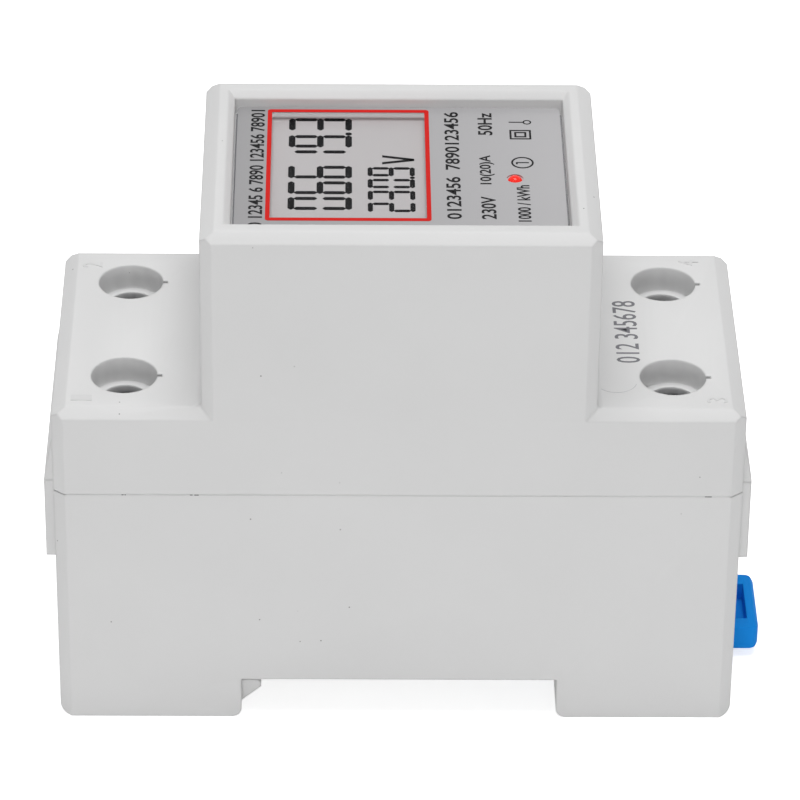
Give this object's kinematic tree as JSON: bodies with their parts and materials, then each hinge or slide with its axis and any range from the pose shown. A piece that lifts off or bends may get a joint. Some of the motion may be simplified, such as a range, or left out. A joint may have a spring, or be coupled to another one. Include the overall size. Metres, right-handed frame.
{
  "type": "din rail energy meter",
  "caption": "Narrow rail-mounted electricity meter with a raised nose carrying a digit display, screw terminals on both shoulders and a pull-out rail clip.",
  "frame": {"origin": "plane of the feet, midway between the end faces and midway across the body", "axes": "+X from the fixed rail hook to the rail clip, +Y across the modules, along the rail, +Z from the feet to the display"},
  "size_m": [0.0845, 0.036, 0.066],
  "materials": {
    "grey_housing": "fine spark-eroded",
    "clear_window": "polished",
    "label_film": "satin",
    "display_glass": "semi-gloss",
    "white_moulding": "plain",
    "black_rubber": "matt",
    "green_board": "solder resist",
    "flat_cable": "satin",
    "red_lamp": "clear tinted",
    "steel": "zinc plated",
    "dark_steel": "dark passivated",
    "chip_black": "moulded",
    "can_metal": "drawn",
    "film_yellow": "moulded",
    "sleeve_blue": "shrink sleeve",
    "disc_blue": "dipped",
    "resistor_green": "cement",
    "resistance_alloy": "rolled",
    "copper": "tinned edge",
    "blue_clip": "moulded"
  },
  "bodies": {
    "housing": {"base_shell": "grey_housing", "cover_shell": "grey_housing", "window_lens": "clear_window", "nameplate": "label_film", "display_cell": "display_glass", "display_tray": "white_moulding", "contact_strip": "black_rubber", "display_board": "green_board", "display_ribbon": "flat_cable", "pulse_lamp": "red_lamp", "main_board": "green_board", "board_screw_1": "steel", "board_screw_2": "steel", "metering_chip": "chip_black", "controller_chip": "chip_black", "clock_crystal": "can_metal", "film_capacitor": "film_yellow", "storage_capacitor": "sleeve_blue", "surge_disc": "disc_blue", "mains_resistor": "resistor_green", "shunt_strip": "resistance_alloy", "live_bar_in": "copper", "live_bar_out": "copper", "neutral_bar": "copper", "sense_lead_in": "steel", "sense_lead_out": "steel", "neutral_lead": "steel"},
    "clip": {"rail_clip": "blue_clip"},
    "screw_1": {"terminal_screw_1": "dark_steel"},
    "cage_1": {"terminal_cage_1": "steel"},
    "screw_2": {"terminal_screw_2": "dark_steel"},
    "cage_2": {"terminal_cage_2": "steel"},
    "screw_3": {"terminal_screw_3": "dark_steel"},
    "cage_3": {"terminal_cage_3": "steel"},
    "screw_4": {"terminal_screw_4": "dark_steel"},
    "cage_4": {"terminal_cage_4": "steel"}
  },
  "joints": [
    {"name": "clip_slide", "type": "slide", "parent": "housing", "child": "clip", "axis": [1, 0, 0], "range_m": [0, 0.003], "stiffness_N_per_m": 1500, "springref_m": -0.001},
    {"name": "screw_1_turn", "type": "hinge", "parent": "housing", "child": "screw_1", "pos_m": [-0.0315, -0.0103, 0.0376], "axis": [0, 0, -1], "range_deg": [0, 1440]},
    {"name": "cage_1_lift", "type": "slide", "parent": "housing", "child": "cage_1", "axis": [0, 0, 1], "range_m": [0, 0.0032]},
    {"name": "screw_2_turn", "type": "hinge", "parent": "housing", "child": "screw_2", "pos_m": [-0.0315, 0.0103, 0.0376], "axis": [0, 0, -1], "range_deg": [0, 1440]},
    {"name": "cage_2_lift", "type": "slide", "parent": "housing", "child": "cage_2", "axis": [0, 0, 1], "range_m": [0, 0.0032]},
    {"name": "screw_3_turn", "type": "hinge", "parent": "housing", "child": "screw_3", "pos_m": [0.0315, -0.0103, 0.0376], "axis": [0, 0, -1], "range_deg": [0, 1440]},
    {"name": "cage_3_lift", "type": "slide", "parent": "housing", "child": "cage_3", "axis": [0, 0, 1], "range_m": [0, 0.0032]},
    {"name": "screw_4_turn", "type": "hinge", "parent": "housing", "child": "screw_4", "pos_m": [0.0315, 0.0103, 0.0376], "axis": [0, 0, -1], "range_deg": [0, 1440]},
    {"name": "cage_4_lift", "type": "slide", "parent": "housing", "child": "cage_4", "axis": [0, 0, 1], "range_m": [0, 0.0032]}
  ],
  "couplings": [
    {"joint": "screw_1_turn", "follows": "cage_1_lift", "rad_per_m": 7853},
    {"joint": "screw_2_turn", "follows": "cage_2_lift", "rad_per_m": 7853},
    {"joint": "screw_3_turn", "follows": "cage_3_lift", "rad_per_m": 7853},
    {"joint": "screw_4_turn", "follows": "cage_4_lift", "rad_per_m": 7853}
  ]
}
